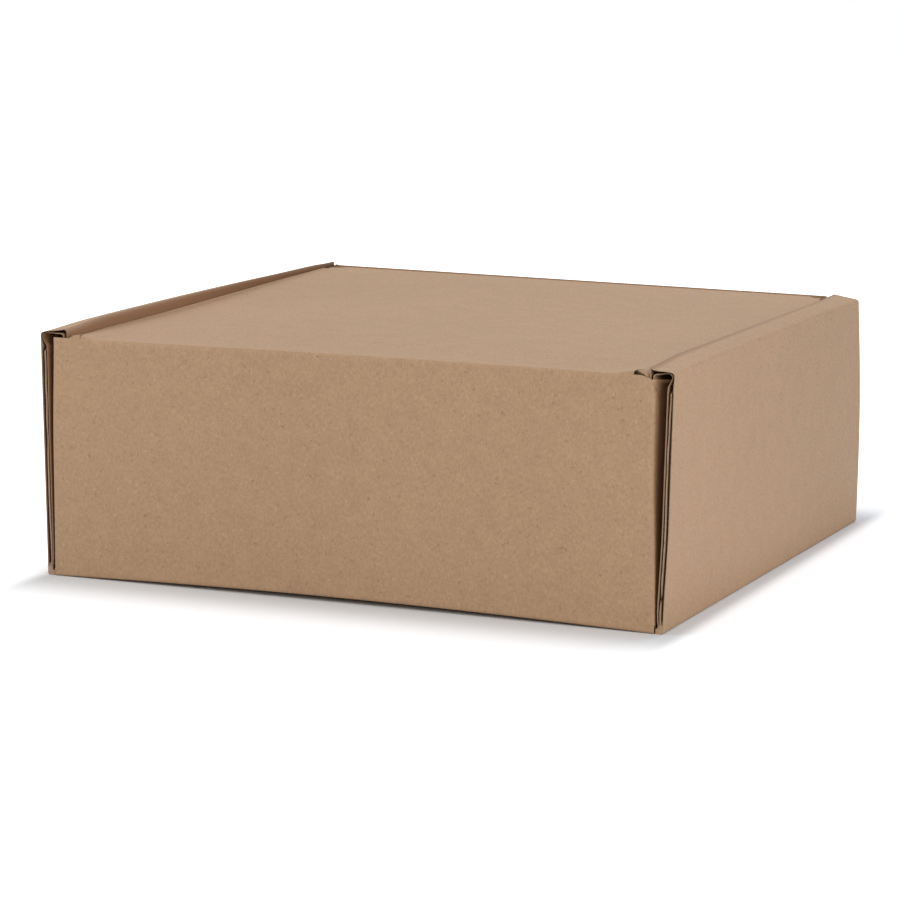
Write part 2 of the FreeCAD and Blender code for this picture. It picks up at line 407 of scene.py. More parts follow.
# %% How the box stands
HALF_WIDTH = tray_high.x
HALF_DEPTH = tray_high.y
CREASE_TOP = 113 * MM
LEAN = {(-1, -1): (150.4 * MM, 153.2 * MM), (1, -1): (150.0 * MM, 151.9 * MM),
        (-1, 1): (150.0 * MM, 150.8 * MM), (1, 1): (152.5 * MM, 150.7 * MM)}
EDGE_LIFT = 2.3 * MM
EDGE_LIFT_REACH = 90 * MM
ROLL_BOW = 1.1 * MM
TWIST = 0.8 * MM
RIGHT_DROOP, CORNER_DROOP, LEFT_DROOP = 0.9 * MM, 0.9 * MM, 0.7 * MM
LEFT_RISE = 0.5 * MM
PINCH = {(-1, -1): 2.4 * MM, (1, -1): -1.2 * MM, (-1, 1): 1.8 * MM, (1, 1): 2.6 * MM}
LID_SAG = 2.2 * MM
WALL_STEP = 1.1 * MM
FAR_BULGE = 1.3 * MM
CREASE_DROOP = 1.0 * MM

# Where each of those fades out: from, to.
NEAR_END, FAR_END, UPPER_HALF = (-HALF_DEPTH, -100 * MM), (60 * MM, HALF_DEPTH), (60 * MM, CREASE_TOP)
ROLL, ROLL_LIP, LEFT_ROLL = (136 * MM, 141 * MM), (136 * MM, 139 * MM), (-139.5 * MM, -138 * MM)
ROLL_INSIDE, ROLL_OUTSIDE = (110 * MM, 139 * MM), (141 * MM, 150 * MM)
LID_ONLY = (139.8 * MM, 140.6 * MM)
HINGE_DEPTH, HINGE_WIDTH = (-HALF_DEPTH + 4 * MM, -90 * MM), (122 * MM, 134 * MM)
STEP_DEPTH, STEP_HEIGHT, OUTER_WALL = (-HALF_DEPTH, -60 * MM), (0, 50 * MM), (144 * MM, 147.5 * MM)
SAG_LEFT, SAG_RIGHT = (40 * MM, HALF_WIDTH - 12 * MM), (100 * MM, HALF_WIDTH - 12 * MM)


def fade(value, near, far):
    """1 at near, 0 at far, and smooth between them."""
    share = min(1.0, max(0.0, (value - near) / (far - near)))
    return 1 - share * share * (3 - 2 * share)


def half_width(across, y, z):
    """How wide that half of the box is there, from its four corners' leans."""
    share = 0.5 + 0.5 * y / HALF_DEPTH
    near, far = [base + (top - base) * z / CREASE_TOP for base, top in (LEAN[across, -1], LEAN[across, 1])]
    if across > 0:
        far += FAR_BULGE * max(0.0, math.sin(math.pi * z / CREASE_TOP))
    return near + (far - near) * share


def sagged(pair):
    """The lid's left edge has sunk between its two ends, and the right one half as much."""
    faces = []
    for point in pair:
        along = (point.y + HALF_DEPTH - OUTSIDE_RADIUS) / (2 * HALF_DEPTH - OUTSIDE_RADIUS)
        along = min(1.0, max(0.0, along))
        dip = LID_SAG * math.sin(math.pi * along**0.6) * (1 - fade(-point.x, *SAG_LEFT))
        dip += LID_SAG / 2 * math.sin(math.pi * along) * (1 - fade(point.x, *SAG_RIGHT))
        faces.append(point - Vector((0, 0, dip)))
    return tuple(faces)


def settle(point):
    """Where a point of a square box is on this one."""
    x, y, z = point
    across = 1 if x > 0 else -1
    width = half_width(across, y, z) / HALF_WIDTH
    near, far = fade(y, *NEAR_END), 1 - fade(y, *FAR_END)
    high = 1 - fade(z, *UPPER_HALF)

    middle = max(0.0, 1 - (x / (HALF_WIDTH - BOARD)) ** 2)
    lift = EDGE_LIFT * middle * fade(y, -HALF_DEPTH, -HALF_DEPTH + EDGE_LIFT_REACH) * fade(z, 0, CREASE_TOP)
    bow = ROLL_BOW * max(0.0, 1 - (y / HALF_DEPTH) ** 2) * fade(x, *LEFT_ROLL) * high
    twist = -TWIST * (x / HALF_WIDTH) * (y / HALF_DEPTH) * (z / CREASE_TOP) * fade(abs(x), *LID_ONLY)

    in_roll = (1 - fade(abs(x), *ROLL_INSIDE)) * fade(abs(x), *ROLL_OUTSIDE) * high
    pinch = -across * in_roll * (PINCH[across, -1] * near + PINCH[across, 1] * far**2)
    step = WALL_STEP * fade(y, *STEP_DEPTH) * (1 - fade(z, *STEP_HEIGHT)) * (1 - fade(x, *OUTER_WALL))

    droop = RIGHT_DROOP * far * high * (1 - fade(x, *ROLL))
    droop += CORNER_DROOP * near * in_roll * (1 - fade(x, *ROLL_LIP))
    droop += (LEFT_DROOP * near - LEFT_RISE * far**3) * high * (1 - fade(-x, *ROLL))
    hinge = fade(y, *HINGE_DEPTH) * high * fade(abs(x), *HINGE_WIDTH)
    droop += CREASE_DROOP * (1 + (x / HALF_WIDTH) ** 2) * hinge
    return Vector((x * width + pinch + step, y, z + lift + bow + twist - droop))


# %% [markdown]
# ## Kraft paper
# Brown kraft liner is unbleached wood pulp. It is matt, a warm grey-brown, a little cloudy, and full of
# short fibres, some paler and some darker than the rest. Layers of noise at those sizes give it, the
# clouds about as wide as a hand, the fibres under a millimetre. The fibres lie along the sheet, so they
# read the flat position that every piece carries, and the rest reads the object's own coordinates.
# Where the pieces ask for it, shade is painted in: browner paper, and near black deep inside a cut edge.

# %% Kraft paper
KRAFT, CUT_KRAFT = (0.45, 0.283, 0.164), (0.40, 0.27, 0.17)
DARK_FIBRE, PALE_FIBRE = (0.22, 0.135, 0.075, 1.0), (0.62, 0.47, 0.34, 1.0)
# Painted shade: a browner kraft, and near black for deep inside a cut.
SHADED_KRAFT, DEEP_SHADE_KRAFT = (0.26, 0.13, 0.062, 1.0), (0.045, 0.017, 0.008, 1.0)


def kraft_paper(name, colour, contrast, roughness):
    material = bpy.data.materials.new(name)
    material.use_nodes = True
    graph = Graph(material.node_tree)
    shader = material.node_tree.nodes["Principled BSDF"]
    place = graph.add("ShaderNodeTexCoord", out="Object")
    flat = graph.add("ShaderNodeAttribute", {"attribute_name": "flat"}, out="Vector")

    def grain(scale, detail=2.0, rough=0.5, where=place):
        return graph.add(
            "ShaderNodeTexNoise", None,
            {"Vector": where, "Scale": scale, "Detail": detail, "Roughness": rough},
        )

    def above(value, low, high):
        return graph.add(
            "ShaderNodeMapRange", {"interpolation_type": "SMOOTHSTEP"},
            {"Value": value, "From Min": low, "From Max": high},
        )

    def blended(share, first, second):
        return graph.add("ShaderNodeMix", {"data_type": "RGBA"}, {0: share, 6: first, 7: second}, out=2)

    clouds = grain(9.0, 2.0)
    mottle = grain(110.0, 3.0)
    speckle = grain(900.0, 2.0, 0.6)
    lengthwise = graph.add("ShaderNodeMapping", None, {"Vector": flat, "Scale": (1600.0, 420.0, 1.0)})
    fibres = grain(1.0, 3.0, 0.6, lengthwise)
    tone = 1 + contrast * (
        0.08 * (clouds - 0.5) + 0.14 * (mottle - 0.5) + 0.28 * (speckle - 0.5) + 0.3 * (fibres - 0.5)
    )
    elsewhere = graph.add("ShaderNodeMapping", None, {"Vector": place, "Location": (3.0, 5.0, 7.0)})
    dark_fleck = above(grain(520.0, 1.0), 0.70, 0.76)
    pale_fleck = above(grain(640.0, 1.0, 0.5, elsewhere), 0.70, 0.76)
    # The pieces' painted shade darkens the paper towards the browner kraft, and past 1 towards near black.
    painted_shade = graph.add("ShaderNodeAttribute", {"attribute_name": "painted_shade"}, out="Fac")
    paper = graph.add("ShaderNodeVectorMath", {"operation": "SCALE"}, {0: colour, "Scale": tone})
    paper = blended(0.45 * dark_fleck, paper, DARK_FIBRE)
    paper = blended(0.35 * pale_fleck, paper, PALE_FIBRE)
    paper = blended(0.8 * painted_shade, paper, SHADED_KRAFT)
    paper = blended(above(painted_shade, 1.0, DEEP_SHADE), paper, DEEP_SHADE_KRAFT)
    material.node_tree.links.new(paper.socket, shader.inputs["Base Color"])
    rough = roughness + 0.12 * (mottle - 0.5)
    material.node_tree.links.new(rough.socket, shader.inputs["Roughness"])
    flat_v = graph.add("ShaderNodeSeparateXYZ", None, {0: flat}, out="Y")
    washboard = (flat_v * (2 * math.pi / FLUTE_PITCH)).sine()
    height = 0.02 * washboard + 0.05 * fibres + 0.05 * speckle
    bump = graph.add("ShaderNodeBump", None, {"Height": height, "Distance": MM, "Strength": 0.6})
    material.node_tree.links.new(bump.socket, shader.inputs["Normal"])
    return material


liner_paper = kraft_paper("kraft_liner", KRAFT, 1.6, 0.64)
cut_paper = kraft_paper("kraft_cut_edge", CUT_KRAFT, 2.0, 0.85)

# %% [markdown]
# ## The tray
# Floor, walls, corner flaps and rolled sides are one sheet. Seen from above it is a cross: the walls
# hang from the floor's four sides, the corner flaps from the ends of the front and back walls, and each
# rolled side goes up, over the corner flaps and down again to the floor, where two tabs hold it. Walls
# built one by one would show seams at the folds, so three sections fold the whole sheet. One crosses the
# box from side to side, one from front to back, and the third turns the corner flaps.

# %% The tray
TURN = math.pi / 2
FOOT_RADIUS = 1.0 * MM
WALL_TOP = CREASE_TOP - BOARD
INNER_WALL_FACE = 139.9 * MM
ROLL_OUTER = Vector((HALF_WIDTH - OUTSIDE_RADIUS, 110.7 * MM))
ROLL_OUTER_RADIUS = 1.6 * MM
ROLL_INNER = Vector((INNER_WALL_FACE + OUTSIDE_RADIUS, 111.6 * MM))
ROLL_INNER_RADIUS = 0.7 * MM
INNER_LEAN = 0.1
INNER_LEAN_LENGTH = 5 * MM
ROLL_SLOPE = math.atan2(ROLL_INNER.y - ROLL_OUTER.y, ROLL_OUTER.x - ROLL_INNER.x)
SIDE_END = HALF_DEPTH - 0.6 * MM
FLAP_OUT = 147.4 * MM
FLAP_LENGTH = 105 * MM
FLAP_FOOT = BOARD + 0.4 * MM
TAB_FOOT = 0.4 * MM
TAB_NEAR, TAB_FAR = 44 * MM, 86 * MM
SLOT_NEAR, SLOT_FAR = TAB_NEAR - 0.4 * MM, TAB_FAR + 0.4 * MM
SLOT_IN, SLOT_OUT = 140.2 * MM, 144.2 * MM
CREASE_HALF = 132.8 * MM
CREASE_MARGIN = 1.7 * MM
SHOULDER_LIP = 0.5 * MM
SEAM_HEIGHT = CREASE_TOP - OUTSIDE_RADIUS - CREASE_MARGIN
FRONT_TOP = 114.3 * MM
FRONT_HALF = 140 * MM
CORNER_SHARP, CORNER_ROUNDER = 1.0 * MM, 1.4 * MM
PULL = {-1: 1.4 * MM, 1: 4.8 * MM}
LINE_REACH, FACE_REACH, MOST_THINNED = 6 * MM, 25 * MM, 2.0 * MM
SHOULDER = {-1: (3.3 * MM, 1.9 * MM), 1: (1.6 * MM, 1.6 * MM)}
SHOULDER_REACH = 10 * MM

side = Section((0, OUTSIDE_RADIUS), 0, 1)
FLOOR_U = side.run(HALF_WIDTH - OUTSIDE_RADIUS)
SIDE_FOOT = side.fold(TURN, FOOT_RADIUS)
SIDE_HEAD = side.run(ROLL_OUTER.y - OUTSIDE_RADIUS)
ROLL_START = side.fold(TURN - ROLL_SLOPE, ROLL_OUTER_RADIUS, crush=0.8, reach=(2.5 * MM, 7 * MM))
ROLL_END = side.run((ROLL_OUTER - ROLL_INNER).length)
LEAN_START = side.fold(TURN + ROLL_SLOPE + INNER_LEAN, ROLL_INNER_RADIUS, crush=0.5)
LEAN_END = side.run(INNER_LEAN_LENGTH)
ROLL_CORNER = (ROLL_END + LEAN_START) / 2
INNER_HEAD = side.fold(-INNER_LEAN)
INNER_FOOT = side.run(ROLL_INNER.y - INNER_LEAN_LENGTH - FLAP_FOOT)
TAB_END = side.run(FLAP_FOOT - TAB_FOOT)

end = Section((0, OUTSIDE_RADIUS), 0, 1)
FLOOR_V = end.run(HALF_DEPTH - OUTSIDE_RADIUS)
WALL_FOOT = end.fold(TURN, FOOT_RADIUS)
end.run(FRONT_TOP - OUTSIDE_RADIUS)

flap = Section((0, 0), 0, 1)
FLAP_FOLD = flap.run(FLAP_OUT - OUTSIDE_RADIUS)
FLAP_START = flap.fold(TURN)
FLAP_END = flap.run(FLAP_LENGTH - OUTSIDE_RADIUS)
print("from the middle to the tabs' ends", round(TAB_END / MM, 1), "mm along the sheet")


# %% Folding the tray
def wall_way(height):
    """Where an end wall is that high, measured along the section from front to back."""
    return WALL_FOOT + height - OUTSIDE_RADIUS


def board_faces(line, outward, outer, inner):
    return settle(line + outward * outer), settle(line + outward * inner)


def corner_radius(height):
    """The upright corner folds are sharp at the floor and rounder at the top."""
    return CORNER_SHARP + CORNER_ROUNDER * height / CREASE_TOP


def drawn_in(height, back, across):
    """How far a corner flap's line is pulled towards the middle, and how much more its outer face is."""
    pull = PULL[across] * max(0.0, height / CREASE_TOP) ** 0.75
    line_pull = pull * fade(back, 0, LINE_REACH)
    return line_pull, min(MOST_THINNED, pull * fade(back, 0, FACE_REACH) - line_pull)


def shoulder_rise(u, across):
    """Beside the crease the wall's top edge stands up in a thin lip, higher at the left corner."""
    if u < CREASE_HALF - 1e-6:
        return 0.0
    near, far = SHOULDER[across]
    share = min(1.0, (u - CREASE_HALF) / (FLAP_FOLD - CREASE_HALF))
    return (near + (far - near) * share) * fade(u, FLAP_FOLD, FLAP_FOLD + SHOULDER_REACH)


def fold_tray(u, v):
    across, along = math.copysign(1, u), math.copysign(1, v)
    if abs(u) > FLOOR_U - 1e-6 and abs(v) < SIDE_END + 1e-6:
        (x, z), (out, up), outer, inner = side.at(abs(u))
        return board_faces(Vector((across * x, v, z)), Vector((across * out, 0, up)), outer, inner)
    (y, z), (out, up), outer, inner = end.at(abs(v))
    if abs(u) > FLAP_FOLD - 30 * MM and abs(v) > wall_way(FLAP_FOOT) - 1e-6:
        (x, back), (aside, off), fold_outer, fold_inner = flap.at(abs(u), corner_radius(z))
        pull, thinned = drawn_in(z, back, across)
        x -= pull * (1 - fade(x, CREASE_HALF + 0.5 * MM, FLAP_FOLD))
        lip = 0 if along > 0 else 1 - fade(z, SEAM_HEIGHT, WALL_TOP)
        z += lip * shoulder_rise(abs(u), across)
        fold_inner = max(fold_inner, lip * (fold_outer - SHOULDER_LIP))
        line = Vector((across * x, along * (y - back), z))
        turned = Vector((across * aside, -along * off, 0))
        return board_faces(line, turned, fold_outer - thinned, max(inner, fold_inner))
    return board_faces(Vector((u, along * y, z)), Vector((0, along * out, up)), outer, inner)


def tray_edge(u, v):
    """The seam to the crease, the flaps' feet and the side's foot show no channel. The roll is hollow."""
    on_seam = abs(v + wall_way(SEAM_HEIGHT)) < 1e-6 and abs(u) < CREASE_HALF + 1e-6
    at_foot = abs(abs(v) - wall_way(FLAP_FOOT)) < 1e-6 and abs(u) > FLAP_FOLD - 1e-6
    in_roll = SIDE_HEAD - 3 * MM < abs(u) < LEAN_END and abs(v) > FLOOR_V
    at_fold = FLOOR_U - 1e-6 < abs(u) < SIDE_FOOT + 1.5 * MM and abs(v) > FLOOR_V
    if on_seam or at_foot or at_fold:
        return "joined"
    return "hollow" if in_roll else "cut"


def tray_painted_shade(u, v, inner):
    """Painted shade: darker are the roll from its inner corner down, and what faces the gaps at the box's
    corners.
    """
    # Inside the outer side walls, near their ends, shade is painted where they face the corner gaps.
    if inner:
        on_side = abs(u) > FLOOR_U and abs(v) < SIDE_END + 1e-6
        near_end = 1 - fade(abs(v), SIDE_END - 14 * MM, SIDE_END - 4 * MM)
        return on_side * near_end * fade(abs(u), ROLL_START, ROLL_END)
    # The corner flaps' folds, in the gaps at the corners, get strong painted shade.
    if abs(v) > WALL_FOOT:
        return 1.2 * (1 - fade(abs(u), FLAP_FOLD + 1 * MM, FLAP_START + 3 * MM))
    # The roll gets painted shade from its inner corner down, more of it towards the front of the box.
    rolled = 1 - fade(abs(u), ROLL_CORNER - 0.3 * (LEAN_START - ROLL_END), ROLL_CORNER)
    more_far_away = 1.12 + 0.32 * v / SIDE_END
    return rolled * more_far_away * fade(abs(u), LEAN_END, LEAN_END + 9 * MM)


def fold_ticks(start, stop):
    return ticks(start, stop, step=(stop - start) / FOLD_STEPS * 1.001)[1:]


# %% Laying out the tray
GRID = 5 * MM
FOOT_HALF = 147.0 * MM
tray_blank = Blank(fold_tray, tray_edge, painted_shade=tray_painted_shade)
floor_u = ticks(0, CREASE_HALF, FRONT_HALF, SLOT_IN, FLAP_FOLD, SLOT_OUT, FOOT_HALF, FLOOR_U, step=GRID)
floor_v = ticks(0, SLOT_NEAR, TAB_NEAR, TAB_FAR, SLOT_FAR, FLOOR_V, step=GRID)
in_slot = lambda u, v: SLOT_IN < abs(u) < SLOT_OUT and SLOT_NEAR < abs(v) < SLOT_FAR
tray_blank.patch(both_ways(floor_u), both_ways(floor_v), keep=lambda u, v: not in_slot(u, v))

foot_u = [u for u in floor_u if u <= FOOT_HALF + 1e-9]
wall_u = [u for u in floor_u if u <= FLAP_FOLD + 1e-9]
flap_u = wall_u + fold_ticks(FLAP_FOLD, FLAP_START) + ticks(FLAP_START, FLAP_END, step=GRID)[1:]
foot_v = [FLOOR_V] + fold_ticks(FLOOR_V, WALL_FOOT)
rise_v = ticks(wall_way(FLAP_FOOT), wall_way(SEAM_HEIGHT), wall_way(WALL_TOP), step=4 * MM)
front_v = ticks(wall_way(WALL_TOP), wall_way(FRONT_TOP), step=GRID)
crease_band = (wall_way(SEAM_HEIGHT), wall_way(WALL_TOP))
for way in (1, -1):
    turned = lambda lines: lines if way > 0 else [-line for line in reversed(lines)]
    tray_blank.patch(both_ways(foot_u), turned(foot_v))
    tray_blank.patch(both_ways(wall_u), turned([WALL_FOOT, wall_way(FLAP_FOOT)]))
    on_hinge = lambda u, v: way < 0 and abs(u) < CREASE_HALF and abs(v) > crease_band[0]
    tray_blank.patch(both_ways(flap_u), turned(rise_v), keep=lambda u, v: not on_hinge(u, v))
front_u = [u for u in floor_u if u <= FRONT_HALF + 1e-9]
tray_blank.patch(both_ways(front_u), front_v)

side_v = floor_v + [SIDE_END]
wall_rise = fold_ticks(FLOOR_U, SIDE_FOOT) + ticks(SIDE_FOOT, SIDE_HEAD, step=3 * MM)[1:]
roll_over = fold_ticks(SIDE_HEAD, ROLL_START) + ticks(ROLL_START, ROLL_END, step=2 * MM)[1:]
roll_over += fold_ticks(ROLL_END, LEAN_START) + ticks(LEAN_START, LEAN_END, step=1.3 * MM)[1:] + [INNER_HEAD]
inner_fall = [INNER_HEAD] + ticks(INNER_HEAD, INNER_FOOT, step=GRID)[1:]
for way in (1, -1):
    turned = lambda lines: lines if way > 0 else [-line for line in reversed(lines)]
    tray_blank.patch(turned([FLOOR_U] + wall_rise + roll_over), both_ways(side_v))
    tray_blank.patch(turned(inner_fall), both_ways(floor_v))
    in_tab = lambda u, v: TAB_NEAR < abs(v) < TAB_FAR
    tray_blank.patch(turned([INNER_FOOT, TAB_END]), both_ways(floor_v), keep=in_tab)
tray_board = tray_blank.solid("tray_board", liner_paper, cut_paper)

# %% [markdown]
# ## The lid
# The lid is the same sheet, carried on from the back wall. It lies between the two rolled sides and
# rises a little towards the front, where its tuck flap goes down inside the front wall. A flap down
# each side keeps it in line. All three are hidden while the box is shut and seen once it opens. It is
# drawn flat and folded as the tray is, but as a piece of its own, because it turns with the hinge.

# %% The lid
LID_START = -HALF_DEPTH + OUTSIDE_RADIUS + CREASE_MARGIN
LID_FRONT = lid_high.y
LID_RISE = 1.35 * MM
LID_TILT = math.atan2(LID_RISE, LID_FRONT - LID_START)
LID_HALF = 140 * MM
FLAP_DROP = 62 * MM
FLAP_LEAN = math.atan2(2 * MM, FLAP_DROP)
LID_NEAR = -3.4 * MM
TAB_EDGE = 2.2 * MM
FLAP_NEAR, FLAP_FAR = 0.8 * MM, 269.9 * MM
SLIT = 0.5 * MM
FLAP_TAPER = 14 * MM
TUCK_HALF = 129.8 * MM
TUCK_DROP = 46 * MM
TUCK_LEAN = math.atan2(3.72 * MM, TUCK_DROP)
TUCK_CORNER = 16 * MM
SNIP = 2.4 * MM
CREASE_RADIUS, TUCK_RADIUS, DUST_RADIUS = 1.8 * MM, 2.4 * MM, 2.0 * MM

crease_way = Section((-HALF_DEPTH + OUTSIDE_RADIUS, SEAM_HEIGHT), TURN, -1)
crease_way.run(CREASE_MARGIN)
crease_way.fold(-TURN + LID_TILT, CREASE_RADIUS)
CREASE_END = crease_way.run(CREASE_MARGIN)

lid_way = Section((LID_START, CREASE_TOP - OUTSIDE_RADIUS), LID_TILT, -1)
LID_FOLD = lid_way.run((LID_FRONT - OUTSIDE_RADIUS - LID_START) / math.cos(LID_TILT))
TUCK_START = lid_way.fold(-TURN - LID_TILT - TUCK_LEAN, TUCK_RADIUS)
TUCK_END = lid_way.run(TUCK_DROP - OUTSIDE_RADIUS)

lid_side = Section((0, 0), 0, -1)
LID_SIDE_FOLD = lid_side.run(LID_HALF - OUTSIDE_RADIUS)
DUST_START = lid_side.fold(-TURN - FLAP_LEAN, DUST_RADIUS)
DUST_END = lid_side.run(FLAP_DROP - OUTSIDE_RADIUS)
print("from the crease to the tuck flap's edge", round(TUCK_END / MM, 1), "mm along the sheet")


# %% Folding the lid
def fold_lid(u, v):
    across = math.copysign(1, u)
    (y, z), (forth, up), outer, inner = lid_way.at(v) if v >= 0 else crease_way.at(CREASE_END + v)
    (x, drop), (aside, off), fold_outer, fold_inner = lid_side.at(abs(u))
    above = Vector((0, forth, up))
    line = Vector((across * x, y, z)) + drop * above
    outward = Vector((across * aside, 0, 0)) + off * above
    if v < 0:
        inner += (TAB_EDGE - inner) * (1 - fade(-v, 0.5 * MM, 1.8 * MM))
    if abs(u) > LID_SIDE_FOLD:
        return sagged(board_faces(line, outward, fold_outer, max(fold_inner, inner if v < 0 else 0)))
    return sagged(board_faces(line, outward, outer, max(inner, fold_inner)))


def lid_edge(u, v):
    on_seam = abs(v) < 1e-6 and abs(u) < CREASE_HALF + 1e-6
    at_corner = v < 0.49 * LID_NEAR and abs(u) < DUST_START
    return "joined" if on_seam or at_corner else "cut"


def curled(u, v):
    """The near corner starts level beside the crease and curls down further out."""
    curl = 1 - fade(abs(u), CREASE_HALF + 1 * MM, CREASE_HALF + 5 * MM)
    return u, v * (0.5 + 0.5 * curl) if v < 0 else v


def tapered(u, v):
    """A side flap narrows at both ends towards its lower edge, and clears the back wall below its fold."""
    v = curled(u, v)[1]
    fall = max(0.0, abs(u) - DUST_START)
    depth = fall / (DUST_END - DUST_START)
    share = (v - LID_NEAR) / (FLAP_FAR - LID_NEAR)
    clear = (FLAP_NEAR - LID_NEAR) * (1 - fade(fall, 0, 4 * MM))
    return u, v + (FLAP_TAPER * depth + clear) * (1 - share) - FLAP_TAPER * depth * share


def rounded_tuck(u, v):
    """The tuck flap's two corners are rounded, so it finds its way in."""
    below = max(0.0, v - (TUCK_END - TUCK_CORNER))
    inset = TUCK_CORNER - math.sqrt(max(0.0, TUCK_CORNER**2 - below**2))
    return u * (TUCK_HALF - inset) / TUCK_HALF, v


def snipped(u, v):
    """Beside the tuck flap the lid's free edge is cut back a little."""
    return u, v - SNIP * (1 - fade(abs(u), TUCK_HALF, CREASE_HALF)) * (v > LID_FOLD - 1e-6)


# %% Laying out the lid
lid_blank = Blank(
    fold_lid, lid_edge, lambda u, v: (u, -(wall_way(SEAM_HEIGHT) + CREASE_END + v))
)
lid_u = ticks(0, TUCK_HALF, CREASE_HALF, CREASE_HALF + SLIT, LID_SIDE_FOLD, step=GRID)
lid_v = ticks(LID_NEAR, 0, step=0.6 * MM) + ticks(0, FLAP_FAR, LID_FOLD, step=GRID)[1:]
in_tab = lambda u, v: v < 0 and abs(u) > CREASE_HALF + SLIT
lid_blank.patch(both_ways(lid_u), [v for v in lid_v if v < 1e-9], keep=in_tab, shape=curled)
lid_blank.patch(both_ways(lid_u), [v for v in lid_v if v > -1e-9], shape=snipped)
dust_u = [LID_SIDE_FOLD] + fold_ticks(LID_SIDE_FOLD, DUST_START) + ticks(DUST_START, DUST_END, step=GRID)[1:]
dust_v = [v for v in lid_v if v <= FLAP_FAR + 1e-9]
for way in (1, -1):
    turned = dust_u if way > 0 else [-u for u in reversed(dust_u)]
    lid_blank.patch(turned, dust_v, shape=tapered)
tuck_u = [u for u in lid_u if u <= TUCK_HALF + 1e-9]
round_v = [
    TUCK_END - TUCK_CORNER * (1 - math.sin(math.radians(angle))) for angle in range(10, 91, 10)
]
tuck_v = [LID_FOLD] + fold_ticks(LID_FOLD, TUCK_START)
tuck_v += ticks(TUCK_START, TUCK_END - TUCK_CORNER, step=GRID)[1:] + round_v
lid_blank.patch(both_ways(tuck_u), tuck_v, shape=rounded_tuck)
lid_board = lid_blank.solid("lid_board", liner_paper, cut_paper)

# %% [markdown]
# ## The hinge crease
# Between the back wall and the lid the sheet only bends. A piece that rode on either side would tear
# there when the lid opens, so the crease is a strip of its own. As it stands shut, it meets the tray at
# one end and the lid at the other, and turns smoothly between them.

# %% The hinge crease
def fold_crease(u, v):
    (y, z), (back, up), outer, inner = crease_way.at(v)
    return sagged(board_faces(Vector((u, y, z)), Vector((0, back, up)), outer, inner))


crease_blank = Blank(
    fold_crease,
    lambda u, v: "joined" if v < 1e-6 or v > CREASE_END - 1e-6 else "cut",
    lambda u, v: (u, -(wall_way(SEAM_HEIGHT) + v)),
)
crease_u = [u for u in lid_u if u <= CREASE_HALF + 1e-9]
crease_blank.patch(both_ways(crease_u), ticks(0, CREASE_END, step=0.4 * MM))
crease_board = crease_blank.solid("crease_board", liner_paper, cut_paper)

# %% [markdown]
# ## The fluted medium
# Where a cut crosses the flutes, the wavy medium shows between the liners. It repeats every few
# millimetres along every such edge, and each wave could be drawn by hand, but there are hundreds. So
# Geometry Nodes do it: they take the line of the edge, walk along it in even steps, push every step
# towards one liner or the other by a sine, and draw the paper in from there.

# %% The line of every edge that crosses the flutes
FLUTE_RECESS = 0.15 * MM
FLUTE_DEPTH = 2.6 * MM
MEDIUM_PAPER = 0.16 * MM
FLUTE_HEIGHT = BOARD * (1 - 2 * LIP) / 2 - MEDIUM_PAPER


def flute_lines(blank, name):
    """A mesh of edges, each point of which knows the way across the board and the way into it."""

    def middle(flat):
        outside, inside = blank.fold(*flat)
        return outside.lerp(inside, 0.5), (outside - inside).normalized() * FLUTE_HEIGHT

    edges = blank.cut_edges()
    crossing = {
        here: into for here, (onward, into, along) in edges.items()
        if along < 0.3 and blank.edge_kind(*blank.flat[here]) == "cut"
    }
    order = {here: number for number, here in enumerate(crossing)}
    points, across, inward = [], [], []
    for here, into in crossing.items():
        place, out = middle(blank.flat[here] + into * FLUTE_RECESS)
        points.append(place)
        across.append(out)
        inward.append(middle(blank.flat[here] + into * (FLUTE_RECESS + FLUTE_DEPTH))[0] - place)
    joins = [(order[here], order[edges[here][0]]) for here in crossing if edges[here][0] in order]
    mesh = bpy.data.meshes.new(name)
    mesh.from_pydata(points, joins, [])
    for label, vectors in (("across", across), ("inward", inward)):
        values = [value for vector in vectors for value in vector]
        mesh.attributes.new(label, "FLOAT_VECTOR", "POINT").data.foreach_set("vector", values)
    obj = bpy.data.objects.new(name, mesh)
    bpy.context.scene.collection.objects.link(obj)
    print(name, len(points), "points on", len(joins), "edges")
    return obj


